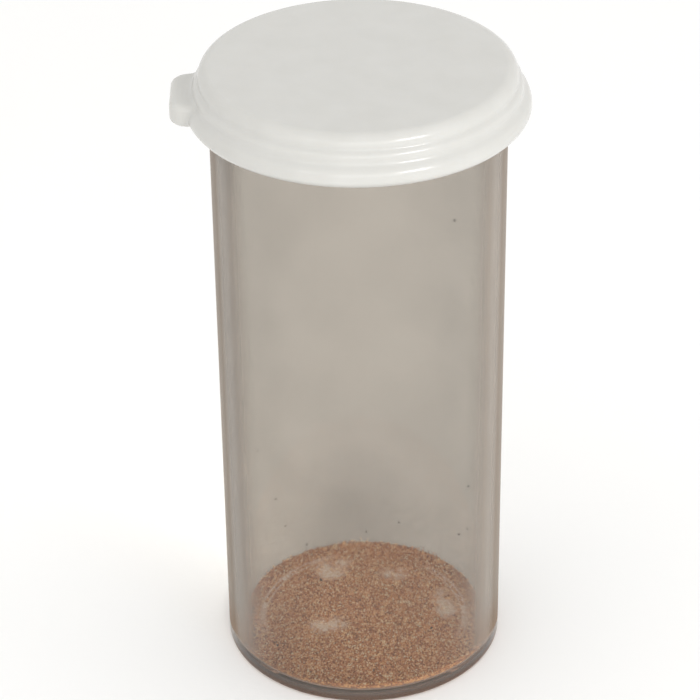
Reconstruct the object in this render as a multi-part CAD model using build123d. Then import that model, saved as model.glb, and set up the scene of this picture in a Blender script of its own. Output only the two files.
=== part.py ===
from build123d import *

# Snap-cap sample vial holding a thin bed of mineral sand.
# Millimetres. +Z is up, the origin is the centre of the foot on the surface the vial stands on,
# and the cap's thumb tab points towards -X.

import math
import os
import random

# ---------------------------------------------------------------- driving dimensions

OVERALL_HEIGHT = 69.8

# Vial wall: tapered a little so that the moulding leaves its core.
WALL_RADIUS_FOOT = 15.1
WALL_RADIUS_NECK = 15.41
BORE_RADIUS_FLOOR = 13.72
BORE_RADIUS_MOUTH = 14.06

# Vial foot and floor: the underside is hollowed so that it stands on a ring, and the floor
# above the hollow is raised by about as much, inside a fine moulded ring.
FOOT_HOLLOW_DEPTH = 0.6
FOOT_HOLLOW_RADIUS = 11.6
FOOT_RING_RADIUS = 12.3
FLOOR_TOP = 0.95
FLOOR_STEP_RADIUS = 11.9
DISC_TOP = 1.5
DISC_RADIUS = 11.0
RING_TOP = 1.62
RING_OUTER_RADIUS = 11.55
RING_INNER_RADIUS = 11.2
GATE_RADIUS = 0.9
GATE_HEIGHT = 0.2

# Mouth of the vial, measured down from the top of the closed cap.
MOUTH_DROP = 1.3
BEAD_RADIUS = 15.75
BEAD_DROP = 2.5
BEAD_FOOT_DROP = 3.05
MOUTH_RADIUS = 15.33

# Cap: flat panel, three rounded steps down the skirt, snap rib and plug seal inside.
PANEL_THICKNESS = 1.25
STEP_RADII = (16.4, 16.9, 17.77)
SKIRT_DROP = 5.1
SKIRT_INNER_RADIUS = 16.2
RIB_RADIUS = 15.83
GROOVE_RADIUS = 16.0
SEAL_OUTER_RADIUS = 13.97
SEAL_INNER_RADIUS = 12.95
SEAL_DROP = 3.6

# Thumb tab on the cap's rim.
TAB_REACH = 19.25
TAB_WIDTH = 8.25
TAB_THICKNESS = 2.38
TAB_ROOT_RADIUS = 16.3
TAB_PLAN_ROUNDING = 1.95
TAB_TOP_ROUNDING = 0.65
TAB_BOTTOM_ROUNDING = 0.5

# Sand: it lies just off the moulding all round. It is nearly level, and rises a little where
# it is heaped against the wall.
SAND_GAP = 0.02
SAND_TOP = 1.70
SAND_WALL_TOP = 1.84
SAND_HEAP_RADIUS = 12.9
SAND_TOE_ROUNDING = 0.55

# Bare places in the thin sand over the raised disc: centre x, centre y, half length, half
# width, turn in degrees.
BARE_PATCHES = (
    (-3.9, -2.4, 1.9, 1.1, 12),
    (9.2, 0.9, 0.9, 2.7, 8),
    (-3.6, 7.5, 1.6, 0.7, -10),
    (3.8, 7.4, 1.4, 0.8, 5),
    (-3.4, 9.3, 2.4, 0.5, 14),
)
PATCH_OUTLINE_POINTS = 14
PATCH_RAGGEDNESS = 0.28

# Bright flat grains lying on the sand.
FLECK_COUNT = 70
FLECK_LENGTH = 0.34
FLECK_WIDTH = 0.26
FLECK_THICKNESS = 0.08
FLECK_MAX_TILT = 16
FLECK_SPACING = 0.7
FLECK_LIFT = 0.12
FLECK_WALL_CLEARANCE = 0.5
FLECK_RING_CLEARANCE = 0.4
FLECK_PATCH_CLEARANCE = 1.4

# Grains clinging to the inside of the wall: direction round the axis in degrees, height.
WALL_GRAINS = (
    (39, 47.0), (139, 11.1), (133, 6.7), (120, 2.9), (153, 19.4), (12, 8.3),
    (6, 14.1), (24, 8.9), (32, 7.1), (6, 5.7), (88, 3.4), (71, 5.1),
    (205, 9.5), (228, 4.6), (251, 15.2), (274, 3.6), (301, 7.8), (322, 24.0),
    (190, 33.5), (346, 4.2),
)
WALL_GRAIN_SIZE = (0.30, 0.24, 0.18)
WALL_GRAIN_INSET = 0.25


# ---------------------------------------------------------------- shared shapes


def from_top(drop):
    """Height of a level that lies this far below the top of the closed cap."""
    return OVERALL_HEIGHT - drop


def unit(start, end):
    """Direction and length from one (radius, height) point to another."""
    length = math.hypot(end[0] - start[0], end[1] - start[1])
    return ((end[0] - start[0]) / length, (end[1] - start[1]) / length), length


def rounded_outline(corners):
    """Closed face in the XZ plane through corners of (radius, height, rounding)."""
    edges = []
    count = len(corners)
    ends = []
    for i, (radius, height, rounding) in enumerate(corners):
        here = (radius, height)
        back, _ = unit(here, corners[i - 1][:2])
        ahead, _ = unit(here, corners[(i + 1) % count][:2])
        if rounding == 0:
            ends.append((here, here, None))
            continue
        half = math.acos(max(-1.0, min(1.0, back[0] * ahead[0] + back[1] * ahead[1]))) / 2
        setback = rounding / math.tan(half)
        start = (here[0] + back[0] * setback, here[1] + back[1] * setback)
        end = (here[0] + ahead[0] * setback, here[1] + ahead[1] * setback)
        inward, _ = unit((0, 0), (back[0] + ahead[0], back[1] + ahead[1]))
        bulge = rounding / math.sin(half) - rounding
        middle = (here[0] + inward[0] * bulge, here[1] + inward[1] * bulge)
        ends.append((start, end, middle))
    for i, (start, end, middle) in enumerate(ends):
        if middle is not None:
            edges.append(ThreePointArc(*(Vector(r, 0, z) for r, z in (start, middle, end))))
        following = ends[(i + 1) % count][0]
        edges.append(Line(Vector(end[0], 0, end[1]), Vector(following[0], 0, following[1])))
    return make_face(edges)


def turned(corners):
    """Solid of revolution about the vial's axis."""
    return revolve(rounded_outline(corners), Axis.Z)


# ---------------------------------------------------------------- the pieces


def vial_body():
    """Clear moulding: foot ring, floor with its raised disc, tapered wall, bead and mouth."""
    shell = turned([
        (0, FOOT_HOLLOW_DEPTH, 0),
        (FOOT_HOLLOW_RADIUS, FOOT_HOLLOW_DEPTH, 0.4),
        (FOOT_RING_RADIUS, 0, 0.25),
        (WALL_RADIUS_FOOT, 0, 0.5),
        (WALL_RADIUS_NECK, from_top(BEAD_FOOT_DROP), 0.4),
        (BEAD_RADIUS, from_top(BEAD_DROP), 0.3),
        (MOUTH_RADIUS, from_top(MOUTH_DROP), 0.3),
        (BORE_RADIUS_MOUTH, from_top(MOUTH_DROP), 0.35),
        (BORE_RADIUS_FLOOR, FLOOR_TOP, 0.5),
        (FLOOR_STEP_RADIUS, FLOOR_TOP, 0.15),
        (RING_OUTER_RADIUS, RING_TOP, 0.1),
        (RING_INNER_RADIUS, RING_TOP, 0.1),
        (DISC_RADIUS, DISC_TOP, 0.08),
        (0, DISC_TOP, 0),
    ])
    gate = turned([
        (0, FOOT_HOLLOW_DEPTH - GATE_HEIGHT, 0),
        (GATE_RADIUS, FOOT_HOLLOW_DEPTH - GATE_HEIGHT, 0.08),
        (GATE_RADIUS, FOOT_HOLLOW_DEPTH + GATE_HEIGHT, 0),
        (0, FOOT_HOLLOW_DEPTH + GATE_HEIGHT, 0),
    ])
    return shell + gate


def thumb_tab():
    """Block on the rim that a thumb pushes up, with rounded outer corners and edges."""
    length = TAB_REACH - TAB_ROOT_RADIUS
    middle_x = -(TAB_REACH + TAB_ROOT_RADIUS) / 2
    middle_z = from_top(SKIRT_DROP) + TAB_THICKNESS / 2
    tab = Pos(middle_x, 0, middle_z) * Box(length, TAB_WIDTH, TAB_THICKNESS)
    outer_corners = tab.edges().filter_by(Axis.Z).group_by(Axis.X)[0]
    tab = fillet(outer_corners, TAB_PLAN_ROUNDING)
    tab = fillet(rim_of(tab.faces().sort_by(Axis.Z)[-1]), TAB_TOP_ROUNDING)
    return fillet(rim_of(tab.faces().sort_by(Axis.Z)[0]), TAB_BOTTOM_ROUNDING)


def rim_of(face):
    """Edges of a face of the tab, without the one at its root."""
    return face.edges().sort_by(Axis.X)[:-1]


def cap():
    """White moulding: panel, stepped skirt, snap rib, plug seal ring and thumb tab."""
    step_1, step_2, step_3 = STEP_RADII
    shell = turned([
        (0, from_top(0), 0),
        (step_1, from_top(0), 1.25),
        (step_1, from_top(1.45), 0.49),
        (step_2, from_top(1.97), 0.88),
        (step_2, from_top(2.76), 0.98),
        (step_3, from_top(3.60), 1.45),
        (step_3, from_top(4.58), 0.7),
        (step_3 - 0.44, from_top(SKIRT_DROP), 0.2),
        (SKIRT_INNER_RADIUS, from_top(SKIRT_DROP), 0.2),
        (SKIRT_INNER_RADIUS, from_top(4.25), 0.2),
        (RIB_RADIUS, from_top(3.85), 0.2),
        (RIB_RADIUS, from_top(3.40), 0.2),
        (GROOVE_RADIUS, from_top(3.05), 0.3),
        (GROOVE_RADIUS, from_top(2.50), 0.3),
        (GROOVE_RADIUS - 0.45, from_top(PANEL_THICKNESS), 0.2),
        (SEAL_OUTER_RADIUS, from_top(PANEL_THICKNESS), 0.12),
        (SEAL_OUTER_RADIUS - 0.05, from_top(SEAL_DROP), 0.35),
        (SEAL_INNER_RADIUS, from_top(SEAL_DROP), 0.35),
        (SEAL_INNER_RADIUS - 0.1, from_top(PANEL_THICKNESS), 0.4),
        (0, from_top(PANEL_THICKNESS), 0),
    ])
    return shell + thumb_tab()


def bare_patch(x, y, half_length, half_width, turn, draw):
    """Upright ragged column that cuts one bare place out of the sand."""
    outline = []
    for i in range(PATCH_OUTLINE_POINTS):
        angle = 2 * math.pi * i / PATCH_OUTLINE_POINTS
        reach = 1 + draw.uniform(-PATCH_RAGGEDNESS, PATCH_RAGGEDNESS)
        outline.append((half_length * reach * math.cos(angle), half_width * reach * math.sin(angle)))
    face = make_face(Spline(*outline, periodic=True))
    return Pos(x, y, 0) * Rot(0, 0, turn) * extrude(face, 2 * SAND_TOP)


def sample_sand(draw):
    """One bed of sand: deep in the channel round the floor, thin over the ring and the disc."""
    bed = turned([
        (0, DISC_TOP + SAND_GAP, 0),
        (DISC_RADIUS - SAND_GAP, DISC_TOP + SAND_GAP, 0),
        (RING_INNER_RADIUS - SAND_GAP, RING_TOP + SAND_GAP, 0),
        (RING_OUTER_RADIUS + SAND_GAP, RING_TOP + SAND_GAP, 0),
        (FLOOR_STEP_RADIUS + SAND_GAP, FLOOR_TOP + SAND_GAP, 0),
        (BORE_RADIUS_FLOOR - SAND_GAP, FLOOR_TOP + SAND_GAP, SAND_TOE_ROUNDING),
        (BORE_RADIUS_FLOOR - SAND_GAP, SAND_WALL_TOP, 0),
        (SAND_HEAP_RADIUS, SAND_TOP, 0.5),
        (0, SAND_TOP, 0),
    ])
    for patch in BARE_PATCHES:
        bed -= bare_patch(*patch, draw)
    return bed


def clear_of_patches(x, y):
    """Whether a fleck here lies on sand and not over a bare place."""
    for patch_x, patch_y, half_length, half_width, _ in BARE_PATCHES:
        if math.hypot(x - patch_x, y - patch_y) < max(half_length, half_width) * FLECK_PATCH_CLEARANCE:
            return False
    return True


def sand_height(reach):
    """Height of the sand's surface at this distance from the axis."""
    heap = max(0.0, reach - SAND_HEAP_RADIUS) / (BORE_RADIUS_FLOOR - SAND_HEAP_RADIUS)
    return SAND_TOP + heap * (SAND_WALL_TOP - SAND_TOP)


def bright_flecks(draw):
    """Flat bright grains scattered over the sand, each a little tilted."""
    flecks = []
    places = []
    while len(flecks) < FLECK_COUNT:
        angle = draw.uniform(0, 2 * math.pi)
        reach = math.sqrt(draw.uniform(0, 1)) * (BORE_RADIUS_FLOOR - FLECK_WALL_CLEARANCE)
        x, y = reach * math.cos(angle), reach * math.sin(angle)
        near_ring = -FLECK_RING_CLEARANCE < reach - RING_INNER_RADIUS < FLECK_RING_CLEARANCE
        crowded = any(math.hypot(x - px, y - py) < FLECK_SPACING for px, py in places)
        if near_ring or crowded or not clear_of_patches(x, y):
            continue
        places.append((x, y))
        turn = Rot(
            draw.uniform(-FLECK_MAX_TILT, FLECK_MAX_TILT),
            draw.uniform(-FLECK_MAX_TILT, FLECK_MAX_TILT),
            draw.uniform(0, 360),
        )
        shape = Box(FLECK_LENGTH, FLECK_WIDTH, FLECK_THICKNESS)
        flecks.append(Pos(x, y, sand_height(reach) + FLECK_LIFT) * turn * shape)
    return flecks


def wall_grains(draw):
    """Single grains held on the inside of the wall."""
    grains = []
    taper = (BORE_RADIUS_MOUTH - BORE_RADIUS_FLOOR) / from_top(MOUTH_DROP)
    for direction, height in WALL_GRAINS:
        reach = BORE_RADIUS_FLOOR + taper * height - WALL_GRAIN_INSET
        turn = Rot(*(draw.uniform(0, 360) for _ in range(3)))
        place = Rot(0, 0, direction) * Pos(reach, 0, height)
        grains.append(place * turn * Box(*WALL_GRAIN_SIZE))
    return grains


# ---------------------------------------------------------------- output


def write(name, shape):
    """Write one node's file."""
    solids = shape if isinstance(shape, list) else shape.solids()
    export_step(Compound(children=solids), f"parts/{name}.step")


os.makedirs("parts", exist_ok=True)
write("vial_body", vial_body())
write("cap", cap())
write("sample_sand", sample_sand(random.Random(11)))
write("bright_flecks", bright_flecks(random.Random(23)))
write("wall_grains", wall_grains(random.Random(37)))
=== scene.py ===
import math

import bmesh
import bpy
import numpy as np
from mathutils import Matrix, Vector, noise
from mathutils.bvhtree import BVHTree


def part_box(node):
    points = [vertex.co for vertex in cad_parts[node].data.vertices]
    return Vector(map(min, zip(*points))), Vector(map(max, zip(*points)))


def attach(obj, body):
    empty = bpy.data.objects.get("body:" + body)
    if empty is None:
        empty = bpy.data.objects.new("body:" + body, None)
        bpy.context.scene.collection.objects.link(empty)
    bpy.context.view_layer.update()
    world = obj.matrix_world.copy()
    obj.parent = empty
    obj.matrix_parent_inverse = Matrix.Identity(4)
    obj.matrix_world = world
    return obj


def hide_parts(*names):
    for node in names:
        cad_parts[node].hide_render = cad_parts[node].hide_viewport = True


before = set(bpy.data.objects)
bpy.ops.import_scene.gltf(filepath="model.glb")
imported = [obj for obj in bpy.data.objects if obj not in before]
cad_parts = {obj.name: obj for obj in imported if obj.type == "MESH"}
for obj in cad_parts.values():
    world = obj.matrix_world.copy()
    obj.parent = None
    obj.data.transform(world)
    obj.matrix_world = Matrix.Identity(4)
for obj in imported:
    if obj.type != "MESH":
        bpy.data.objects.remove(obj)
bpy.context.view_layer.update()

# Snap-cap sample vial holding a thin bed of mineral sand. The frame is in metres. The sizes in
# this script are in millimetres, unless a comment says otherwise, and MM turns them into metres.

MM = 0.001

# ---------------------------------------------------------------- dimensions

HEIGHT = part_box("cap")[1].z / MM

# Vial: tapered wall, hollowed foot, a floor raised inside a fine ring, and a snap bead at the
# mouth. A drop is measured down from the top of the closed cap.
WALL_RADIUS_FOOT = 15.1
WALL_RADIUS_NECK = 15.41
BORE_RADIUS_FLOOR = 13.72
BORE_RADIUS_MOUTH = 14.06
BORE_FOOT_ROUNDING = 0.5
FOOT_HOLLOW_DEPTH = 0.6
FOOT_HOLLOW_RADIUS = 11.6
FOOT_RING_INNER_RADIUS = 12.3
FLOOR_TOP = 0.95
FLOOR_STEP_RADIUS = 11.9
DISC_TOP = 1.5
DISC_RADIUS = 11.0
RING_TOP = 1.62
RING_OUTER_RADIUS = 11.55
RING_INNER_RADIUS = 11.2
GATE_RADIUS = 0.9
GATE_HEIGHT = 0.2
NECK_DROP = 3.05
BEAD_RADIUS = 15.75
BEAD_DROP = 2.5
MOUTH_RADIUS = 15.33
MOUTH_DROP = 1.3

# Cap: flat panel, three rounded steps down the skirt, snap rib and plug seal inside. Each step,
# from the lowest up, has a radius, and a drop and a rounding for its lower and its upper corner.
SKIRT_STEPS = (
    (17.77, 4.58, 0.7, 3.60, 1.45),
    (16.9, 2.76, 0.98, 1.97, 0.88),
    (16.4, 1.45, 0.49, 0, 1.25),
)
SKIRT_DROP = 5.1
SKIRT_FOOT_INSET = 0.44
SKIRT_INNER_RADIUS = 16.2
RIB_RADIUS = 15.83
RIB_DROPS = (3.40, 3.85)
RIB_FOOT_DROP = 4.25
GROOVE_RADIUS = 16.0
GROOVE_DROPS = (2.50, 3.05)
GROOVE_SLANT = 0.45
PANEL_THICKNESS = 1.25
SEAL_OUTER_RADIUS = 13.97
SEAL_OUTER_TAPER = 0.05
SEAL_INNER_RADIUS = 12.95
SEAL_INNER_TAPER = 0.1
SEAL_DROP = 3.6

# Thumb tab. Its root is deep in the skirt, and is cut off where the skirt hides it.
TAB_REACH = -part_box("cap")[0].x / MM
TAB_ROOT = 14.0
TAB_CUT_RADIUS = 16.7
TAB_WIDTH = 8.25
TAB_THICKNESS = 2.38
TAB_PLAN_ROUNDING = 1.95
TAB_TOP_ROUNDING = 0.65
TAB_BOTTOM_ROUNDING = 0.5
TAB_BLEND = 0.7
TAB_BLEND_AT_FOOT = 0.1

# Sand: its level top, the heap against the wall, the gap that it keeps from the plastic, its
# lowest edge in the corner of the floor (in from the wall, and up), and the top of the dust in
# its bare places.
SAND_TOP = 1.70
SAND_WALL_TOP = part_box("sample_sand")[1].z / MM
SAND_HEAP_RADIUS = 12.9
SAND_GAP = 0.02
SAND_TOE = (0.1, 0.2)
DUST_TOP = 1.54
GRAIN_SPACING = 0.195
GRAIN_SIZE = 0.12

# How finely the meshes are divided.
SPIN_STEPS = 256
ARC_STEP = math.radians(11)
WALL_STEP = 1.5
CAP_GRID = 0.20
CAP_FITTING_ROUNDS = 4
CAP_BATCHES = 64
SAND_RING_STEP = 0.2
SAND_SPIN_STEPS = 216

# ---------------------------------------------------------------- profiles


def from_top(drop):
    """Height of a level this far below the top of the closed cap."""
    return HEIGHT - drop


def rounded_path(corners, longest=WALL_STEP):
    """Points and outward normals along a line through corners of (radius, height, rounding).

    The solid lies on the left of the line, and the line's two ends are on the axis. Both
    results are (N, 2) arrays.
    """
    points = []
    directions = []
    for i, (radius, height, rounding) in enumerate(corners):
        here = Vector((radius, height))
        if rounding == 0:
            beside = corners[i + 1] if i == 0 else corners[i - 1]
            along = (Vector(beside[:2]) - here).normalized() * (1 if i == 0 else -1)
            points.append(here)
            directions.append(along)
            continue
        back = (here - Vector(corners[i - 1][:2])).normalized()
        ahead = (Vector(corners[i + 1][:2]) - here).normalized()
        turn = math.atan2(back.x * ahead.y - back.y * ahead.x, back.dot(ahead))
        side = math.copysign(rounding, turn)
        start = here - back * rounding * math.tan(abs(turn) / 2)
        centre = start + Vector((-back.y, back.x)) * side
        steps = max(3, math.ceil(abs(turn) / ARC_STEP))
        for k in range(steps + 1):
            along = Matrix.Rotation(turn * k / steps, 2) @ back
            points.append(centre - Vector((-along.y, along.x)) * side)
            directions.append(along)
    return divided(points, directions, longest)


def divided(points, directions, longest):
    """The same line with its long straight runs divided, as arrays of points and normals."""
    places = [points[0]]
    normals = [directions[0]]
    for i in range(1, len(points)):
        parts = max(1, math.ceil((points[i] - points[i - 1]).length / longest))
        for k in range(1, parts + 1):
            places.append(points[i - 1].lerp(points[i], k / parts))
            normals.append(directions[i - 1].lerp(directions[i], k / parts))
    normals = np.array([(n.y, -n.x) for n in normals])
    return np.array([tuple(p) for p in places]), normals


def vial_profile():
    """Section of the clear moulding, from the gate mark under its floor round to the floor's top."""
    return rounded_path([
        (0, FOOT_HOLLOW_DEPTH - GATE_HEIGHT, 0),
        (GATE_RADIUS, FOOT_HOLLOW_DEPTH - GATE_HEIGHT, 0.08),
        (GATE_RADIUS, FOOT_HOLLOW_DEPTH, 0.05),
        (FOOT_HOLLOW_RADIUS, FOOT_HOLLOW_DEPTH, 0.4),
        (FOOT_RING_INNER_RADIUS, 0, 0.25),
        (WALL_RADIUS_FOOT, 0, 0.5),
        (WALL_RADIUS_NECK, from_top(NECK_DROP), 0.4),
        (BEAD_RADIUS, from_top(BEAD_DROP), 0.3),
        (MOUTH_RADIUS, from_top(MOUTH_DROP), 0.3),
        (BORE_RADIUS_MOUTH, from_top(MOUTH_DROP), 0.35),
        (BORE_RADIUS_FLOOR, FLOOR_TOP, BORE_FOOT_ROUNDING),
        (FLOOR_STEP_RADIUS, FLOOR_TOP, 0.15),
        (RING_OUTER_RADIUS, RING_TOP, 0.1),
        (RING_INNER_RADIUS, RING_TOP, 0.1),
        (DISC_RADIUS, DISC_TOP, 0.08),
        (0, DISC_TOP, 0),
    ])


def cap_profile():
    """Section of the cap without its tab, from the panel's underside round to its top."""
    inside = [
        (0, from_top(PANEL_THICKNESS), 0),
        (SEAL_INNER_RADIUS - SEAL_INNER_TAPER, from_top(PANEL_THICKNESS), 0.4),
        (SEAL_INNER_RADIUS, from_top(SEAL_DROP), 0.35),
        (SEAL_OUTER_RADIUS - SEAL_OUTER_TAPER, from_top(SEAL_DROP), 0.35),
        (SEAL_OUTER_RADIUS, from_top(PANEL_THICKNESS), 0.12),
        (GROOVE_RADIUS - GROOVE_SLANT, from_top(PANEL_THICKNESS), 0.2),
    ]
    inside += [(GROOVE_RADIUS, from_top(drop), 0.3) for drop in GROOVE_DROPS]
    inside += [(RIB_RADIUS, from_top(drop), 0.2) for drop in RIB_DROPS]
    inside += [(SKIRT_INNER_RADIUS, from_top(drop), 0.2) for drop in (RIB_FOOT_DROP, SKIRT_DROP)]
    outside = [(SKIRT_STEPS[0][0] - SKIRT_FOOT_INSET, from_top(SKIRT_DROP), 0.2)]
    for radius, lower_drop, lower_rounding, upper_drop, upper_rounding in SKIRT_STEPS:
        outside.append((radius, from_top(lower_drop), lower_rounding))
        outside.append((radius, from_top(upper_drop), upper_rounding))
    return rounded_path([*inside, *outside, (0, HEIGHT, 0)])


# ---------------------------------------------------------------- mesh helpers


def new_piece(name, points, faces, normals=None):
    """Mesh object from points in millimetres, smooth where it is given a normal for each point."""
    mesh = bpy.data.meshes.new(name)
    mesh.from_pydata((np.asarray(points) * MM).tolist(), [], faces)
    if normals is not None:
        set_normals(mesh, normals)
    piece = bpy.data.objects.new(name, mesh)
    bpy.context.scene.collection.objects.link(piece)
    return piece


def set_normals(mesh, normals):
    """Shade the mesh smooth with these normals, one for each point."""
    mesh.shade_smooth()
    mesh.normals_split_custom_set_from_vertices(np.asarray(normals).tolist())


def spin(path, normals, steps):
    """Points, faces and normals of the solid that a path from axis to axis sweeps."""
    places = []
    facings = []
    rings = []
    angles = 2 * np.pi * np.arange(steps) / steps
    around = np.stack([np.cos(angles), np.sin(angles)], axis=1)
    for (radius, height), (out, up) in zip(path, normals):
        on_axis = radius < 1e-6
        spokes = around[:1] if on_axis else around
        first = len(places)
        rings.append([first + (0 if on_axis else k) for k in range(steps)])
        places.extend((radius * x, radius * y, height) for x, y in spokes)
        facings.extend((out * x, out * y, up) for x, y in spokes)
    faces = []
    for lower, upper in zip(rings, rings[1:]):
        for k in range(steps):
            corners = (lower[k], lower[(k + 1) % steps], upper[(k + 1) % steps], upper[k])
            faces.append(tuple(dict.fromkeys(corners)))
    return np.array(places), faces, np.array(facings)


def finish_piece(piece, material, body, node_name):
    """Give a piece its material, and say what it rides on and what it stands for."""
    piece.data.materials.clear()
    piece.data.materials.append(material)
    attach(piece, body)
    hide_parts(node_name)


# ---------------------------------------------------------------- material helpers


def node(tree, kind, sockets, **settings):
    """New shader node with its settings, and its input sockets filled in or linked."""
    made = tree.nodes.new("ShaderNode" + kind)
    for name, value in settings.items():
        setattr(made, name, value)
    for name, value in sockets.items():
        if isinstance(value, bpy.types.NodeSocket):
            tree.links.new(value, made.inputs[name])
        else:
            made.inputs[name].default_value = value
    return made


def new_material(name):
    """A material with its node tree, its Principled shader and its object coordinates."""
    material = bpy.data.materials.new(name)
    material.use_nodes = True
    tree = material.node_tree
    place = node(tree, "TexCoord", {}).outputs["Object"]
    return material, tree, tree.nodes["Principled BSDF"], place


def cloud(tree, place, size, detail=2.0, stretch=(1, 1, 1)):
    """Noise from 0 to 1 whose patches are about this many millimetres across."""
    spread = node(tree, "Mapping", {"Vector": place, "Scale": stretch}).outputs["Vector"]
    return node(tree, "TexNoise", {
        "Vector": spread, "Scale": 1 / (size * MM), "Detail": detail,
    }).outputs["Fac"]


def ramp(tree, factor, stops):
    """Colour looked up from stops of (position, (red, green, blue))."""
    made = node(tree, "ValToRGB", {"Fac": factor})
    band = made.color_ramp
    for i, (position, colour) in enumerate(stops):
        stop = band.elements[i] if i < 2 else band.elements.new(position)
        stop.position = position
        stop.color = (*colour, 1)
    return made.outputs["Color"]


def between(tree, value, low, high, start=0.3, end=0.7):
    """Number that goes from low to high as a value goes from start to end."""
    return node(tree, "MapRange", {
        "Value": value, "From Min": start, "From Max": end, "To Min": low, "To Max": high,
    }).outputs["Result"]


def maths(tree, how, first, second):
    """What an operation makes of two numbers."""
    return node(tree, "Math", {0: first, 1: second}, operation=how).outputs["Value"]


def vector(tree, how, sockets, result="Vector"):
    """What a vector operation makes of its inputs, as a vector or, with "Value", as a number."""
    return node(tree, "VectorMath", sockets, operation=how).outputs[result]


def blended(tree, factor, first, second, how="MIX"):
    """Two colours mixed."""
    return node(tree, "MixRGB", {
        "Fac": factor, "Color1": first, "Color2": second,
    }, blend_type=how).outputs["Color"]


def relief(tree, shader, *layers):
    """Bump from layers of (height from 0 to 1, depth in millimetres), one on another."""
    normal = None
    for height, depth in layers:
        sockets = {"Height": height, "Distance": depth * MM}
        if normal is not None:
            sockets["Normal"] = normal
        normal = node(tree, "Bump", sockets).outputs["Normal"]
    tree.links.new(normal, shader.inputs["Normal"])


def attribute(tree, name):
    """Number stored on the mesh's points."""
    return node(tree, "Attribute", {}, attribute_name=name).outputs["Fac"]


# ---------------------------------------------------------------- materials

# Clear plastic. Its depth takes light away, less from red than from blue, and its surface holds
# most of the tint. Where the wall turns away, by the Fresnel gloss there, it is darker and
# browner: partly because there is more plastic in the way, and partly by painted shade, a matt
# grey-brown that stands in for the darker surroundings that the edges reflect. Ranges of height
# and radius are in metres: the middle of the wall parts its inner from its outer face, and below
# its start is the foot.
CLEAR_IOR = 1.54
CLEAR_DEPTH_COLOUR = (0.32, 0.21, 0.09, 1)
CLEAR_DENSITY = 14
CLEAR_LAMP_SHARE = (1.0, 0.99, 0.97, 1)
CLEAR_HAZE = ((0.35, (0.69, 0.657, 0.612)), (0.65, (0.645, 0.613, 0.57)))
OUTER_RIM = (
    (0.045, (1, 1, 1)),
    (0.06, (0.89, 0.89, 0.89)),
    (0.12, (0.80, 0.79, 0.775)),
    (0.32, (0.42, 0.36, 0.305)),
)
INNER_RIM = (
    (0.045, (1, 1, 1)),
    (0.12, (0.96, 0.95, 0.93)),
    (0.32, (0.90, 0.78, 0.66)),
)
WALL_MIDDLE = (14.4 * MM, 14.8 * MM)
WALL_START = (1.1 * MM, 2.4 * MM)
RIM_GLARE = (0.1, 0.32)
RIM_CLEARNESS = 0.3

# The foot is a little cloudy, and browner by a painted reflection of the sand in it. The wall
# just above the sand, where it turns away, has a painted reflection of the sand's colour.
FOOT_HAZE = 0.1
FOOT_HAZE_END = (1.0 * MM, 2.2 * MM)
FOOT_PAINTED_REFLECTION = (1.0, 0.70, 0.56, 1)
FOOT_PAINTED_REFLECTION_END = (0.75 * MM, 1.05 * MM)
PAINTED_SAND_REFLECTION = (0.86, 0.70, 0.57, 1)
PAINTED_SAND_REFLECTION_END = (2.5 * MM, 7 * MM)
PAINTED_SAND_REFLECTION_GLARE = (0.1, 0.25)

# A darker grey smudge on the wall opposite the front, just above the sand: its centre, where
# it starts and stops fading, its tint, and the size and strength of its ragged edge.
SMUDGE_CENTRE = (-1.0, 14.6, 6.0)
SMUDGE_REACH = (0.5, 10.0)
SMUDGE_TINT = (0.77, 0.77, 0.775)
SMUDGE_GRAIN = 5
SMUDGE_RAGGEDNESS = 7


def wall_smudge(tree, place):
    """Tint of the darker smudge on the wall, white away from it."""
    ragged = node(tree, "TexNoise", {
        "Vector": place, "Scale": 1 / (SMUDGE_GRAIN * MM), "Detail": 3.0,
    }).outputs["Color"]
    moved = vector(tree, "SUBTRACT", {0: ragged, 1: [0.5, 0.5, 0.5]})
    moved = vector(tree, "SCALE", {0: moved, "Scale": SMUDGE_RAGGEDNESS * MM})
    spot = vector(tree, "ADD", {0: place, 1: moved})
    centre = [value * MM for value in SMUDGE_CENTRE]
    away = vector(tree, "DISTANCE", {0: spot, 1: centre}, "Value")
    thinness = between(tree, away, 0, 1, *(value * MM for value in SMUDGE_REACH))
    return ramp(tree, thinness, [(0.0, SMUDGE_TINT), (1.0, (1, 1, 1))])


def wall_glare(tree, height):
    """Fresnel gloss of the wall, fading to nothing at the foot."""
    gloss = node(tree, "Fresnel", {"IOR": CLEAR_IOR}).outputs["Fac"]
    return maths(tree, "MULTIPLY", gloss, between(tree, height, 0, 1, *WALL_START))


def painted_rim_shade(tree, place, height, glare):
    """Painted shade of the wall where it turns away, for its inner and its outer face, with a painted
    reflection of the sand just above the sand.
    """
    flat = vector(tree, "MULTIPLY", {0: place, 1: [1, 1, 0]})
    reach = vector(tree, "LENGTH", {0: flat}, "Value")
    outside = between(tree, reach, 0, 1, *WALL_MIDDLE)
    rim = blended(tree, outside, ramp(tree, glare, INNER_RIM), ramp(tree, glare, OUTER_RIM))
    # Painted reflection of the sand, near the sand where the wall turns away.
    near_sand = between(tree, height, 1, 0, *PAINTED_SAND_REFLECTION_END)
    turned_away = between(tree, glare, 0, 1, *PAINTED_SAND_REFLECTION_GLARE)
    by_sand = maths(tree, "MULTIPLY", near_sand, turned_away)
    return blended(tree, by_sand, rim, PAINTED_SAND_REFLECTION, "MULTIPLY")


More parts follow.
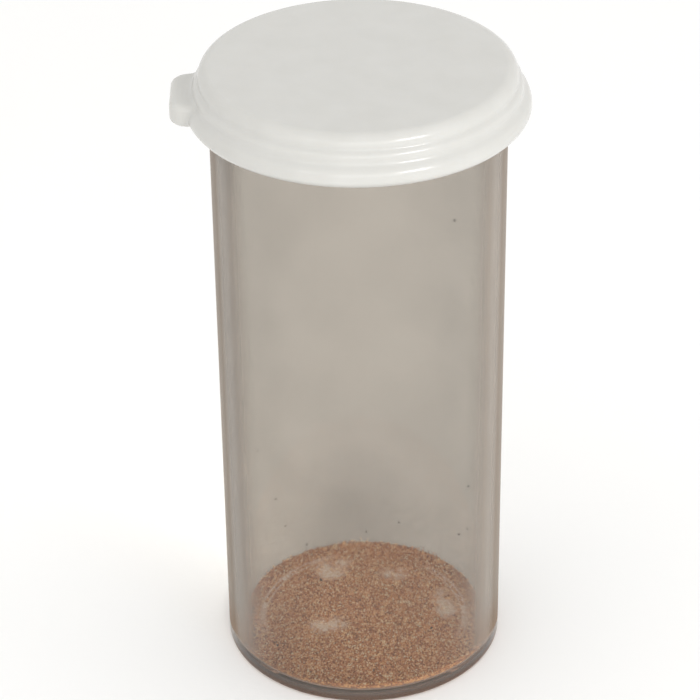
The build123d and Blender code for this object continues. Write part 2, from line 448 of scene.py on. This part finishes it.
def clear_plastic():
    """See-through smoky grey-beige styrene: faint flow waves, fine upright scuffs, dusty patches."""
    material, tree, shader, place = new_material("clear_plastic_look")
    height = node(tree, "SeparateXYZ", {"Vector": place}).outputs["Z"]
    waves = cloud(tree, place, 9, 1)
    dust = cloud(tree, place, 11, 5)
    scuffs = between(tree, cloud(tree, place, 0.12, 2, (1, 1, 0.03)), 0, 1, 0.66, 0.74)
    glare = wall_glare(tree, height)

    tint_and_painted_light = blended(tree, 1, ramp(tree, dust, CLEAR_HAZE), wall_smudge(tree, place), "MULTIPLY")
    # Brown at the foot: a painted reflection of the sand.
    at_foot = between(tree, height, 1, 0, *FOOT_PAINTED_REFLECTION_END)
    tint_and_painted_light = blended(tree, at_foot, tint_and_painted_light, FOOT_PAINTED_REFLECTION, "MULTIPLY")
    # Painted rim shade, and painted reflection of the sand, where the wall turns away.
    tint_and_painted_light = blended(tree, 1, tint_and_painted_light, painted_rim_shade(tree, place, height, glare), "MULTIPLY")
    tree.links.new(tint_and_painted_light, shader.inputs["Base Color"])

    # Where the wall turns away it lets less through, so its painted rim shade shows as matt grey-brown.
    clearness = between(tree, glare, 1.0, RIM_CLEARNESS, *RIM_GLARE)
    foot_haze = between(tree, height, FOOT_HAZE, 0, *FOOT_HAZE_END)
    clearness = maths(tree, "SUBTRACT", clearness, foot_haze)
    tree.links.new(clearness, shader.inputs["Transmission Weight"])

    dusty = between(tree, dust, 0.015, 0.05)
    scuffed = between(tree, scuffs, 0, 0.06, 0, 1)
    tree.links.new(maths(tree, "ADD", dusty, scuffed), shader.inputs["Roughness"])
    shader.inputs["IOR"].default_value = CLEAR_IOR
    shader.inputs["Specular IOR Level"].default_value = 0.0
    relief(tree, shader, (waves, 0.03), (scuffs, 0.0008))
    depth = node(tree, "VolumeAbsorption", {"Color": CLEAR_DEPTH_COLOUR, "Density": CLEAR_DENSITY})
    tree.links.new(depth.outputs["Volume"], tree.nodes["Material Output"].inputs["Volume"])
    let_lamps_through(tree, shader)
    return material


def let_lamps_through(tree, shader):
    """Let light on its way from a lamp pass the plastic nearly unchanged, so that the sand is lit."""
    lamps_pass = node(tree, "BsdfTransparent", {"Color": CLEAR_LAMP_SHARE}).outputs["BSDF"]
    from_lamps = node(tree, "LightPath", {}).outputs["Is Shadow Ray"]
    surface = node(tree, "MixShader", {0: from_lamps, 1: shader.outputs["BSDF"], 2: lamps_pass})
    output = tree.nodes["Material Output"]
    tree.links.new(surface.outputs["Shader"], output.inputs["Surface"])


def white_plastic():
    """Soft white polyethylene: waxy, slightly mottled, with a fine satin texture."""
    material, tree, shader, place = new_material("white_plastic_look")
    mottle = cloud(tree, place, 3.5, 4)
    satin = cloud(tree, place, 0.22, 3)
    sinks = cloud(tree, place, 7, 1)
    colour = ramp(tree, mottle, [(0.3, (0.58, 0.575, 0.548)), (0.7, (0.605, 0.60, 0.575))])
    tree.links.new(colour, shader.inputs["Base Color"])
    tree.links.new(between(tree, satin, 0.16, 0.25), shader.inputs["Roughness"])
    shader.inputs["Subsurface Weight"].default_value = 0.2
    shader.inputs["Subsurface Radius"].default_value = (1.0, 0.9, 0.8)
    shader.inputs["Subsurface Scale"].default_value = 1.2 * MM
    relief(tree, shader, (sinks, 0.05), (satin, 0.004))
    return material


SAND_TONES = [
    (0.0, (0.20, 0.08, 0.028)),
    (0.25, (0.43, 0.18, 0.068)),
    (0.5, (0.75, 0.35, 0.14)),
    (0.75, (1.0, 0.65, 0.32)),
    (1.0, (1.0, 0.92, 0.66)),
]
DUST_AND_HIGHLIGHT_COLOUR = (1.0, 0.84, 0.71, 1)


def grain_look():
    """Copper-tan mineral grains, each with its own tone, the palest ones glossier."""
    material, tree, shader, place = new_material("grain_look")
    tone = attribute(tree, "tone")
    speckle = cloud(tree, place, 0.06, 2)
    shade = maths(tree, "ADD", tone, between(tree, speckle, -0.1, 0.1))
    # The dust attribute also holds the painted highlight on the moulded ring, in the same pale colour.
    colour = blended(tree, attribute(tree, "dust"), ramp(tree, shade, SAND_TONES), DUST_AND_HIGHLIGHT_COLOUR)
    tree.links.new(colour, shader.inputs["Base Color"])
    tree.links.new(between(tree, tone, 0.6, 0.25, 0.5, 1.0), shader.inputs["Roughness"])
    relief(tree, shader, (speckle, 0.01))
    return material


def bed_look():
    """Packed sand under the loose grains: grain-sized cells, with pale dust where it is thin and a
    painted highlight on the moulded ring.
    """
    material, tree, shader, place = new_material("bed_look")
    cells = node(tree, "TexVoronoi", {"Vector": place, "Scale": 1 / (0.2 * MM)})
    tone = node(tree, "SeparateColor", {"Color": cells.outputs["Color"]}).outputs["Red"]
    grains = ramp(tree, between(tree, tone, 0.1, 0.75, 0, 1), SAND_TONES)
    grit = cloud(tree, place, 0.5, 4)
    powder_and_highlight = ramp(tree, grit, [(0.3, (0.82, 0.58, 0.43)), (0.7, (1.0, 0.90, 0.78))])
    # The dust attribute also holds the painted highlight on the moulded ring, in the same pale colour.
    colour = blended(tree, attribute(tree, "dust"), grains, powder_and_highlight)
    tree.links.new(colour, shader.inputs["Base Color"])
    tree.links.new(between(tree, tone, 0.65, 0.9), shader.inputs["Roughness"])
    relief(tree, shader, (cells.outputs["Distance"], 0.05), (grit, 0.03))
    return material


def bright_grain_look():
    """Pale gold flakes with a soft metallic glint."""
    material, tree, shader, place = new_material("bright_grain_look")
    shine = cloud(tree, place, 0.12, 3)
    colour = ramp(tree, shine, [(0.3, (0.85, 0.58, 0.30)), (0.7, (1.0, 0.86, 0.62))])
    tree.links.new(colour, shader.inputs["Base Color"])
    tree.links.new(between(tree, shine, 0.18, 0.4), shader.inputs["Roughness"])
    shader.inputs["Metallic"].default_value = 0.4
    relief(tree, shader, (shine, 0.01))
    return material


def dark_grain_look():
    """Dull brown grains with paler flecks."""
    material, tree, shader, place = new_material("dark_grain_look")
    flecks = cloud(tree, place, 0.08, 3)
    colour = ramp(tree, flecks, [(0.35, (0.03, 0.02, 0.014)), (0.7, (0.12, 0.075, 0.05))])
    tree.links.new(colour, shader.inputs["Base Color"])
    tree.links.new(between(tree, flecks, 0.5, 0.8), shader.inputs["Roughness"])
    relief(tree, shader, (flecks, 0.02))
    return material


def floor_look():
    """Matt white studio paper with a barely visible tooth."""
    material, tree, shader, place = new_material("floor_look")
    tooth = cloud(tree, place, 0.8, 5)
    washes = cloud(tree, place, 90, 2)
    colour = ramp(tree, washes, [(0.3, (0.955, 0.955, 0.95)), (0.7, (0.97, 0.97, 0.965))])
    tree.links.new(colour, shader.inputs["Base Color"])
    tree.links.new(between(tree, tooth, 0.85, 0.95), shader.inputs["Roughness"])
    relief(tree, shader, (tooth, 0.02))
    return material


# ---------------------------------------------------------------- vial and cap


def vial_shell():
    """The clear moulding, spun finely."""
    piece = new_piece("vial_shell", *spin(*vial_profile(), SPIN_STEPS))
    finish_piece(piece, clear_plastic(), "vial", "vial_body")


def profile_distance(path, normals, places):
    """Signed distance of (radius, height) places from a profile, and its gradient there."""
    start = path[:-1]
    run = path[1:] - start
    length_squared = (run ** 2).sum(axis=1)
    offset = places[:, None, :] - start[None, :, :]
    share = np.clip((offset * run).sum(axis=2) / length_squared, 0, 1)
    gap = offset - share[:, :, None] * run
    nearest = (gap ** 2).sum(axis=2).argmin(axis=1)
    rows = np.arange(len(places))
    gap = gap[rows, nearest]
    share = share[rows, nearest][:, None]
    facing = normals[nearest] * (1 - share) + normals[nearest + 1] * share
    facing /= np.linalg.norm(facing, axis=1)[:, None]
    distance = np.linalg.norm(gap, axis=1) * np.sign((gap * facing).sum(axis=1))
    return distance, facing


def skirt_distance(path, normals, places):
    """Signed distance of places in space from the cap without its tab, and its gradient."""
    reach = np.maximum(np.hypot(places[:, 0], places[:, 1]), 1e-9)
    flat = np.stack([reach, places[:, 2]], axis=1)
    parts = [profile_distance(path, normals, part) for part in np.array_split(flat, CAP_BATCHES)]
    distance = np.concatenate([part[0] for part in parts])
    facing = np.concatenate([part[1] for part in parts])
    gradient = np.stack([
        facing[:, 0] * places[:, 0] / reach,
        facing[:, 0] * places[:, 1] / reach,
        facing[:, 1],
    ], axis=1)
    return distance, gradient


def tab_distance(places):
    """Signed distance of places in space from the rounded thumb tab."""
    centre = np.array([-(TAB_REACH + TAB_ROOT) / 2, 0])
    half = np.array([(TAB_REACH - TAB_ROOT) / 2, TAB_WIDTH / 2])
    plan = np.abs(places[:, :2] - centre) - half + TAB_PLAN_ROUNDING
    outside = np.linalg.norm(np.maximum(plan, 0), axis=1)
    side = outside + np.minimum(plan.max(axis=1), 0) - TAB_PLAN_ROUNDING
    above = places[:, 2] - from_top(SKIRT_DROP) - TAB_THICKNESS / 2
    rounding = np.where(above > 0, TAB_TOP_ROUNDING, TAB_BOTTOM_ROUNDING)
    level = np.abs(above) - TAB_THICKNESS / 2 + rounding
    side = side + rounding
    corner = np.hypot(np.maximum(side, 0), np.maximum(level, 0))
    block = corner + np.minimum(np.maximum(side, level), 0) - rounding
    return np.maximum(block, TAB_CUT_RADIUS - np.hypot(places[:, 0], places[:, 1]))


def slope(function, places, step=1e-3):
    """Gradient of a function of places in space, by small differences."""
    columns = []
    for axis in range(3):
        shift = np.zeros(3)
        shift[axis] = step
        columns.append((function(places + shift) - function(places - shift)) / (2 * step))
    return np.stack(columns, axis=1)


def cap_distance(path, normals, places):
    """Signed distance from the cap, whose tab runs into its skirt in a soft hollow."""
    skirt, skirt_slope = skirt_distance(path, normals, places)
    tab = tab_distance(places)
    tab_slope = slope(tab_distance, places)
    rise = np.clip((places[:, 2] - from_top(SKIRT_DROP)) / TAB_THICKNESS, 0, 1)
    blend = TAB_BLEND_AT_FOOT + (TAB_BLEND - TAB_BLEND_AT_FOOT) * rise
    share = np.clip(0.5 + 0.5 * (tab - skirt) / blend, 0, 1)
    distance = tab * (1 - share) + skirt * share - blend * share * (1 - share)
    gradient = tab_slope * (1 - share)[:, None] + skirt_slope * share[:, None]
    widening = np.where((rise > 0) & (rise < 1), (TAB_BLEND - TAB_BLEND_AT_FOOT) / TAB_THICKNESS, 0)
    gradient[:, 2] -= share * (1 - share) * widening
    return distance, gradient


def cap_moulding():
    """The white moulding: an even grid over the CAD cap, fitted to its exact rounded surface."""
    source = bpy.data.objects.new("cap_source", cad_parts["cap"].data.copy())
    bpy.context.scene.collection.objects.link(source)
    grid = source.modifiers.new("grid", "REMESH")
    grid.mode = "VOXEL"
    grid.voxel_size = CAP_GRID * MM
    evaluated = source.evaluated_get(bpy.context.evaluated_depsgraph_get())
    mesh = bpy.data.meshes.new_from_object(evaluated)
    bpy.data.objects.remove(source)

    places = np.empty(3 * len(mesh.vertices))
    mesh.vertices.foreach_get("co", places)
    places = places.reshape(-1, 3) / MM
    path, normals = cap_profile()
    for _ in range(CAP_FITTING_ROUNDS):
        distance, gradient = cap_distance(path, normals, places)
        places -= gradient * (distance / (gradient ** 2).sum(axis=1))[:, None]
    _, gradient = cap_distance(path, normals, places)
    mesh.vertices.foreach_set("co", (places * MM).ravel())
    set_normals(mesh, gradient / np.linalg.norm(gradient, axis=1)[:, None])
    mesh.name = "cap_moulding"
    piece = bpy.data.objects.new("cap_moulding", mesh)
    bpy.context.scene.collection.objects.link(piece)
    finish_piece(piece, white_plastic(), "cap", "cap")


# ---------------------------------------------------------------- sand

# The cover is read from the CAD bed on a grid, softened this many times, and made ragged at the
# edges of the bare places. A thin film of dust fades out towards the front.
COVER_GRID = 0.25
COVER_SOFTNESS = 12
COVER_CONTRAST = 1.65
COVER_LOSS = 0.6
RAGGEDNESS = 2
FILM = 0.05
FILM_FADE = 7
# The two stretches where a painted highlight shows on the floor's moulded ring, in the dust's pale
# colour: start and end in degrees round the axis, and how clearly. It shows as far as the reach to
# either side of the ring's middle.
RING_HIGHLIGHT_STRETCHES = ((104, 202, 1.0), (-28, 50, 1.0))
RING_HIGHLIGHT_REACH = 0.55
RING_EDGE_STEEPNESS = 1.7


def waver(x, y, layer, fineness):
    """Smooth noise from about -1 to 1 across the sand, different for each layer."""
    return noise.noise(Vector((x, y, layer)) * fineness)


class SandCover:
    """How much sand lies at each place: 1 is a full bed, 0 a bare place with only pale dust."""

    def __init__(self):
        count = math.ceil(2 * BORE_RADIUS_FLOOR / COVER_GRID) + 1
        self.low = -COVER_GRID * (count - 1) / 2
        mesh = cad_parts["sample_sand"].data
        points = [vertex.co for vertex in mesh.vertices]
        bed = BVHTree.FromPolygons(points, [tuple(face.vertices) for face in mesh.polygons])
        cover = np.ones((count, count))
        for i in range(count):
            for k in range(count):
                x, y = self.low + i * COVER_GRID, self.low + k * COVER_GRID
                if math.hypot(x, y) > DISC_RADIUS - COVER_GRID:
                    continue
                above = Vector((x, y, 2 * SAND_TOP)) * MM
                cover[i, k] = bed.ray_cast(above, Vector((0, 0, -1)))[0] is not None
        for _ in range(COVER_SOFTNESS):
            cover = self.softened(cover)
        self.cover = cover

    @staticmethod
    def softened(values):
        """Each value averaged with its neighbours."""
        wide = np.pad(values, 1, mode="edge")
        return (
            wide[1:-1, 1:-1] + wide[:-2, 1:-1] + wide[2:, 1:-1] + wide[1:-1, :-2] + wide[1:-1, 2:]
        ) / 5

    def at(self, x, y):
        """Cover at one place."""
        i = min(max(int(round((x - self.low) / COVER_GRID)), 0), len(self.cover) - 1)
        k = min(max(int(round((y - self.low) / COVER_GRID)), 0), len(self.cover) - 1)
        ragged = 0.8 * waver(x, y, 5, 1.1) + 1.0 * waver(x, y, 9, 3)
        cover = self.cover[i, k]
        return min(1, max(0, COVER_CONTRAST * cover - COVER_LOSS + ragged * (1 - cover) * RAGGEDNESS))

    def dust_and_ring_highlight_at(self, x, y):
        """Pale share here: dust where bare or in a faint film, and the painted highlight on the ring.
        """
        film = 0
        if math.hypot(x, y) < RING_INNER_RADIUS:
            away_from_front = min(1, max(0, (y + FILM_FADE) / FILM_FADE))
            film = FILM * (0.5 + waver(x, y, 7, 0.35)) * away_from_front
        return min(1, max(1 - self.at(x, y), painted_ring_highlight(x, y), film))


def painted_ring_highlight(x, y):
    """How strong the painted highlight on the moulded ring is at a place, which is less towards its
    edges and its ends.
    """
    middle = (RING_INNER_RADIUS + RING_OUTER_RADIUS) / 2
    off = abs(math.hypot(x, y) - middle) / RING_HIGHLIGHT_REACH
    if off > 1:
        return 0
    for start, end, clearness in RING_HIGHLIGHT_STRETCHES:
        along = ((math.degrees(math.atan2(y, x)) - start) % 360) / (end - start)
        if along < 1:
            fading = math.sin(math.pi * along) ** 0.5
            return clearness * min(1, RING_EDGE_STEEPNESS * (1 - off)) * fading
    return 0


def sand_height(x, y, cover, sink=0):
    """Height of the sand's surface: nearly level, heaped a little against the wall, uneven.

    Where there is sand, the height is less by sink.
    """
    heap = max(0, math.hypot(x, y) - SAND_HEAP_RADIUS) / (BORE_RADIUS_FLOOR - SAND_HEAP_RADIUS)
    drifts = 0.05 * waver(x, y, 0, 0.3) + 0.025 * waver(x, y, 3, 1.1)
    full = SAND_TOP + heap * (SAND_WALL_TOP - SAND_TOP) + drifts - sink
    return DUST_TOP + (full - DUST_TOP) * cover


def store(mesh, name, values):
    """Keep one number for each point of the mesh, for its material."""
    mesh.attributes.new(name, "FLOAT", "POINT").data.foreach_set("value", np.asarray(values, float))


def sand_bed(cover):
    """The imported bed: an uneven top, a side against the wall and an underside on the floor."""
    edge = BORE_RADIUS_FLOOR - SAND_GAP
    under = [
        (0, DISC_TOP + SAND_GAP), (DISC_RADIUS, DISC_TOP + SAND_GAP),
        (RING_INNER_RADIUS, RING_TOP + SAND_GAP), (RING_OUTER_RADIUS, RING_TOP + SAND_GAP),
        (FLOOR_STEP_RADIUS + SAND_GAP, FLOOR_TOP + SAND_GAP),
        (edge - BORE_FOOT_ROUNDING, FLOOR_TOP + SAND_GAP),
        (edge - SAND_TOE[0], FLOOR_TOP + SAND_TOE[1]), (edge, FLOOR_TOP + BORE_FOOT_ROUNDING),
    ]
    count = math.ceil(edge / SAND_RING_STEP)
    top = [(edge * k / count, SAND_TOP) for k in range(count, -1, -1)]
    path = np.array(under + top)
    points, faces, normals = spin(path, np.zeros_like(path), SAND_SPIN_STEPS)
    first_top = 1 + (len(under) - 1) * SAND_SPIN_STEPS
    dust_and_highlight_shares = np.zeros(len(points))
    # The dust share also holds the painted highlight on the moulded ring.
    for i in range(first_top, len(points)):
        x, y, _ = points[i]
        dust_and_highlight_shares[i] = cover.dust_and_ring_highlight_at(x, y)
        points[i, 2] = sand_height(x, y, cover.at(x, y), GRAIN_SIZE / 2)
    piece = new_piece("sand_bed", points, faces)
    piece.data.shade_smooth()
    store(piece.data, "dust", dust_and_highlight_shares)
    finish_piece(piece, bed_look(), "vial", "sample_sand")


OCTAHEDRON = np.array([(1, 0, 0), (-1, 0, 0), (0, 1, 0), (0, -1, 0), (0, 0, 1), (0, 0, -1)], float)
OCTAHEDRON_FACES = np.array([
    (0, 2, 4), (2, 1, 4), (1, 3, 4), (3, 0, 4), (2, 0, 5), (1, 2, 5), (3, 1, 5), (0, 3, 5),
])


def random_turns(draw, count):
    """This many rotation matrices, evenly spread over all directions."""
    w, x, y, z = draw.normal(size=(4, count))
    size = np.sqrt(w * w + x * x + y * y + z * z)
    w, x, y, z = w / size, x / size, y / size, z / size
    return np.stack([
        np.stack([1 - 2 * (y * y + z * z), 2 * (x * y - w * z), 2 * (x * z + w * y)], axis=1),
        np.stack([2 * (x * y + w * z), 1 - 2 * (x * x + z * z), 2 * (y * z - w * x)], axis=1),
        np.stack([2 * (x * z - w * y), 2 * (y * z + w * x), 1 - 2 * (x * x + y * y)], axis=1),
    ], axis=1)


# How the loose grains lie. Jitter and lift are shares of the spacing and the size of a grain.
GRAIN_JITTER = 0.4
GRAIN_LIFT = (-0.4, 0.7)
# Where the dust share, which also holds the painted ring highlight, is high, grains are left out or
# paled.
GRAINS_LOST_IN_DUST = 0.92
GRAIN_DUSTING = 0.85
GRAIN_REACH = BORE_RADIUS_FLOOR - SAND_GAP - GRAIN_SIZE
SIDE_GRAIN_DROP = (0.2, 0.9)
SIDE_GRAIN_FOOT = 0.25
STRAY_GRAINS = 260
STRAY_RISE = 0.16


def top_grains(draw, cover):
    """Centre, and dust and painted ring highlight, of each grain on the bed's top, on a jittered grid
    of triangles.
    """
    row_step = GRAIN_SPACING * math.sqrt(3) / 2
    rows = math.ceil(GRAIN_REACH / row_step)
    columns = math.ceil(GRAIN_REACH / GRAIN_SPACING)
    for row in range(-rows, rows + 1):
        for column in range(-columns, columns + 1):
            shift = draw.uniform(-GRAIN_JITTER, GRAIN_JITTER, 2) * GRAIN_SPACING
            x = (column + 0.5 * (row % 2)) * GRAIN_SPACING + shift[0]
            y = row * GRAIN_SPACING * math.sqrt(3) / 2 + shift[1]
            chance = draw.uniform()
            lift = draw.uniform(*GRAIN_LIFT) * GRAIN_SIZE
            if math.hypot(x, y) > GRAIN_REACH:
                continue
            # dust here also holds the painted highlight on the moulded ring.
            dust = cover.dust_and_ring_highlight_at(x, y)
            if chance >= GRAINS_LOST_IN_DUST * dust:
                yield (x, y, sand_height(x, y, cover.at(x, y)) + lift), GRAIN_DUSTING * dust


def side_grains(draw):
    """Centre and dust of each grain down the side of the bed, against the wall."""
    spokes = int(2 * math.pi * BORE_RADIUS_FLOOR / GRAIN_SPACING)
    for row in range(math.ceil((SAND_WALL_TOP - FLOOR_TOP) / GRAIN_SPACING)):
        for spoke in range(spokes):
            angle = 2 * math.pi * (spoke + draw.uniform(-GRAIN_JITTER, GRAIN_JITTER)) / spokes
            height = SAND_WALL_TOP - (row + draw.uniform(*SIDE_GRAIN_DROP)) * GRAIN_SPACING
            reach = GRAIN_REACH - draw.uniform(0, 0.5) * GRAIN_SIZE
            if height > FLOOR_TOP + SIDE_GRAIN_FOOT:
                yield (reach * math.cos(angle), reach * math.sin(angle), height), 0


def stray_grains(draw):
    """Centre and dust of each of the few grains on the wall just above the bed."""
    for _ in range(STRAY_GRAINS):
        angle = draw.uniform(0, 2 * math.pi)
        height = SAND_WALL_TOP + draw.exponential(STRAY_RISE)
        yield (GRAIN_REACH * math.cos(angle), GRAIN_REACH * math.sin(angle), height), 0


# Tones of the loose grains: the middle and the spread of most, then the dark, bright and
# brightest kinds, by where a draw from 0 to 1 falls, with the tones that they have.
TONE_MIDDLE = 0.46
TONE_SPREAD = 0.15
DARK_BELOW = 0.13
DARK_TONES = (0.05, 0.28)
BRIGHT_ABOVE = 0.8
BRIGHT_TONES = (0.7, 0.9)
BRIGHTEST_ABOVE = 0.94
BRIGHTEST_TONES = (0.92, 1.0)


def grain_tones(draw, count):
    """Tone of each grain from 0, dark, to 1, bright: mostly middling, a few dark and a few bright."""
    tones = draw.normal(TONE_MIDDLE, TONE_SPREAD, count)
    kind = draw.uniform(size=count)
    tones = np.where(kind < DARK_BELOW, draw.uniform(*DARK_TONES, count), tones)
    tones = np.where(kind > BRIGHT_ABOVE, draw.uniform(*BRIGHT_TONES, count), tones)
    return np.where(kind > BRIGHTEST_ABOVE, draw.uniform(*BRIGHTEST_TONES, count), tones)


# The crystals: how much their three sides, their size and their corners vary.
GRAIN_SEED = 71
GRAIN_STRETCH = (0.75, 1.3)
GRAIN_SIZES = (0.8, 1.2)
GRAIN_CORNERS = (0.75, 1.1)
GRAIN_UNEVENNESS = 0.22


def sand_grains(cover):
    """Thousands of loose faceted grains, each an uneven eight-sided crystal."""
    draw = np.random.default_rng(GRAIN_SEED)
    grains = [*top_grains(draw, cover), *side_grains(draw), *stray_grains(draw)]
    places = np.array([place for place, _ in grains])
    dust_and_highlight_shares = np.array([dust for _, dust in grains])
    count = len(grains)
    stretch = draw.uniform(*GRAIN_STRETCH, (count, 1, 3)) * draw.uniform(*GRAIN_SIZES, (count, 1, 1))
    shapes = OCTAHEDRON * draw.uniform(*GRAIN_CORNERS, (count, 6, 1))
    shapes = shapes + draw.uniform(-GRAIN_UNEVENNESS, GRAIN_UNEVENNESS, (count, 6, 3))
    shapes = shapes * stretch * GRAIN_SIZE
    shapes = np.einsum("nij,nkj->nki", random_turns(draw, count), shapes)
    points = (shapes + places[:, None, :]).reshape(-1, 3)
    faces = (OCTAHEDRON_FACES[None] + 6 * np.arange(count)[:, None, None]).reshape(-1, 3)
    piece = new_piece("sand_grains", points, faces.tolist())
    store(piece.data, "tone", np.repeat(grain_tones(draw, count), 6))
    store(piece.data, "dust", np.repeat(dust_and_highlight_shares, 6))
    finish_piece(piece, grain_look(), "vial", "sample_sand")


# ---------------------------------------------------------------- single grains


def solids_of(node_name):
    """Centre and three half-axes, longest first, of each little block in a CAD node."""
    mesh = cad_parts[node_name].data
    places = {}
    owner = {}
    for vertex in mesh.vertices:
        key = tuple(round(value / MM, 4) for value in vertex.co)
        places.setdefault(key, key)
        owner[vertex.index] = key
    leader = {key: key for key in places}

    def find(key):
        while leader[key] != key:
            key = leader[key]
        return key

    for face in mesh.polygons:
        first, *others = (owner[index] for index in face.vertices)
        for other in others:
            leader[find(other)] = find(first)
    groups = {}
    for key in places:
        groups.setdefault(find(key), []).append(key)
    blocks = []
    for members in groups.values():
        corners = np.array(members)
        centre = corners.mean(axis=0)
        _, _, axes = np.linalg.svd(corners - centre)
        halves = np.abs((corners - centre) @ axes.T).max(axis=0)
        blocks.append((centre, axes * halves[:, None]))
    return blocks


# The flakes: how many sides they may have, and how much corners, reach and thickness vary.
FLAKE_SEED = 72
FLAKE_SIDES = (5, 8)
FLAKE_TURN = 0.25
FLAKE_REACH = (0.7, 1.0)
FLAKE_THICKNESS = (0.6, 1.0)
FLAKE_TOP_SHARE = 0.8


def bright_grains():
    """Flat uneven flakes lying on the sand, one for each in the CAD model."""
    draw = np.random.default_rng(FLAKE_SEED)
    points = []
    faces = []
    for centre, (long, wide, thick) in solids_of("bright_flecks"):
        sides = int(draw.integers(*FLAKE_SIDES))
        first = len(points)
        for level in (-1, 1):
            for k in range(sides):
                angle = 2 * math.pi * (k + draw.uniform(-FLAKE_TURN, FLAKE_TURN)) / sides
                reach = draw.uniform(*FLAKE_REACH)
                bevel = FLAKE_TOP_SHARE if level > 0 else 1.0
                flat = (long * math.cos(angle) + wide * math.sin(angle)) * reach * bevel
                points.append(centre + flat + thick * level * draw.uniform(*FLAKE_THICKNESS))
        bottom = [first + k for k in range(sides)]
        top = [first + sides + k for k in range(sides)]
        faces.append(bottom[::-1])
        faces.append(top)
        faces += [(bottom[k - 1], bottom[k], top[k], top[k - 1]) for k in range(sides)]
    piece = new_piece("bright_grains", points, faces)
    facing_out(piece)
    finish_piece(piece, bright_grain_look(), "vial", "bright_flecks")


CLINGING_SEED = 73
CLINGING_SCALE = 1.4
CLINGING_CORNERS = (0.8, 1.15)
CLINGING_UNEVENNESS = 0.2


def clinging_grains():
    """Rough grains stuck to the inside of the wall, one for each in the CAD model."""
    draw = np.random.default_rng(CLINGING_SEED)
    points = []
    faces = []
    for centre, axes in solids_of("wall_grains"):
        first = len(points)
        shape = OCTAHEDRON * draw.uniform(*CLINGING_CORNERS, (6, 1))
        shape = shape + draw.uniform(-CLINGING_UNEVENNESS, CLINGING_UNEVENNESS, (6, 3))
        points += list(centre + CLINGING_SCALE * shape @ axes)
        faces += (OCTAHEDRON_FACES + first).tolist()
    piece = new_piece("clinging_grains", points, faces)
    facing_out(piece)
    finish_piece(piece, dark_grain_look(), "vial", "wall_grains")


def facing_out(piece):
    """Turn every face of the piece's closed shells outwards."""
    shells = bmesh.new()
    shells.from_mesh(piece.data)
    bmesh.ops.recalc_face_normals(shells, faces=shells.faces)
    shells.to_mesh(piece.data)
    shells.free()


# ---------------------------------------------------------------- stage, light and camera

# Lengths here are in metres, apart from the lens and the sensor.
CAMERA_DISTANCE = 0.3408
CAMERA_ELEVATION = math.radians(31.104)
CAMERA_ROLL = math.radians(-0.729)
CAMERA_LENS = 163.54
SENSOR = 36.0
AIM_SIDE = -0.00117
AIM_HEIGHT_SHARE = 0.5122
FLOOR_HALF_SIDE = 1.5
FLOOR_DROP = 0.00002
WORLD_COLOUR = (1.0, 0.995, 0.985, 1)
WORLD_STRENGTH = 0.95
# Soft boxes: name, azimuth and elevation in degrees, distance, width, height, and watts.
SOFT_BOXES = (
    ("front", 6, 20, 0.9, 0.7, 0.35, 1.1),
    ("key", 37, 26, 0.6, 0.17, 0.07, 0.9),
    ("fill", -33, 28, 0.6, 0.08, 0.08, 0.08),
)


def camera():
    """Camera in front of the vial, looking down on it from about 31 degrees."""
    forward = Vector((0, math.cos(CAMERA_ELEVATION), -math.sin(CAMERA_ELEVATION)))
    level_up = Vector((0, math.sin(CAMERA_ELEVATION), math.cos(CAMERA_ELEVATION)))
    level_right = Vector((1, 0, 0))
    right = math.cos(CAMERA_ROLL) * level_right + math.sin(CAMERA_ROLL) * level_up
    up = math.cos(CAMERA_ROLL) * level_up - math.sin(CAMERA_ROLL) * level_right
    aim = Vector((AIM_SIDE, 0, AIM_HEIGHT_SHARE * HEIGHT * MM))
    place = aim - forward * CAMERA_DISTANCE
    data = bpy.data.cameras.new("camera")
    data.lens = CAMERA_LENS
    data.sensor_width = SENSOR
    data.clip_start = 0.01
    eye = bpy.data.objects.new("camera", data)
    turn = Matrix((right, up, -forward)).transposed()
    eye.matrix_world = Matrix.Translation(place) @ turn.to_4x4()
    bpy.context.scene.collection.objects.link(eye)
    bpy.context.scene.camera = eye


def area_light(name, azimuth, elevation, distance, width, height, power):
    """Soft box aimed at the middle of the vial, in metres and watts.

    Azimuth 0 is the camera's side, and it is positive to the camera's right.
    """
    data = bpy.data.lights.new(name, "AREA")
    data.shape = "RECTANGLE"
    data.size = width
    data.size_y = height
    data.energy = power
    light = bpy.data.objects.new(name, data)
    a, e = math.radians(azimuth), math.radians(elevation)
    aim = Vector((0, 0, HEIGHT * MM / 2))
    out = Vector((math.sin(a) * math.cos(e), -math.cos(a) * math.cos(e), math.sin(e)))
    light.location = aim + out * distance
    light.rotation_euler = out.to_track_quat("Z", "Y").to_euler()
    bpy.context.scene.collection.objects.link(light)


def stage():
    """Pale floor under the vial."""
    mesh = bpy.data.meshes.new("floor")
    side = FLOOR_HALF_SIDE
    corners = [(-side, -side, 0), (side, -side, 0), (side, side, 0), (-side, side, 0)]
    mesh.from_pydata(corners, [], [(0, 1, 2, 3)])
    floor = bpy.data.objects.new("floor", mesh)
    floor.location.z = -FLOOR_DROP
    bpy.context.scene.collection.objects.link(floor)
    floor.data.materials.append(floor_look())


def lights():
    """Even studio light, a large soft box in front, and small ones that draw the cap's highlights."""
    world = bpy.data.worlds.new("studio")
    world.use_nodes = True
    background = world.node_tree.nodes["Background"]
    background.inputs["Color"].default_value = WORLD_COLOUR
    background.inputs["Strength"].default_value = WORLD_STRENGTH
    bpy.context.scene.world = world
    for box in SOFT_BOXES:
        area_light(*box)


vial_shell()
cap_moulding()
sand_cover = SandCover()
sand_bed(sand_cover)
sand_grains(sand_cover)
bright_grains()
clinging_grains()
stage()
lights()
camera()
bpy.context.scene.view_settings.view_transform = "Standard"
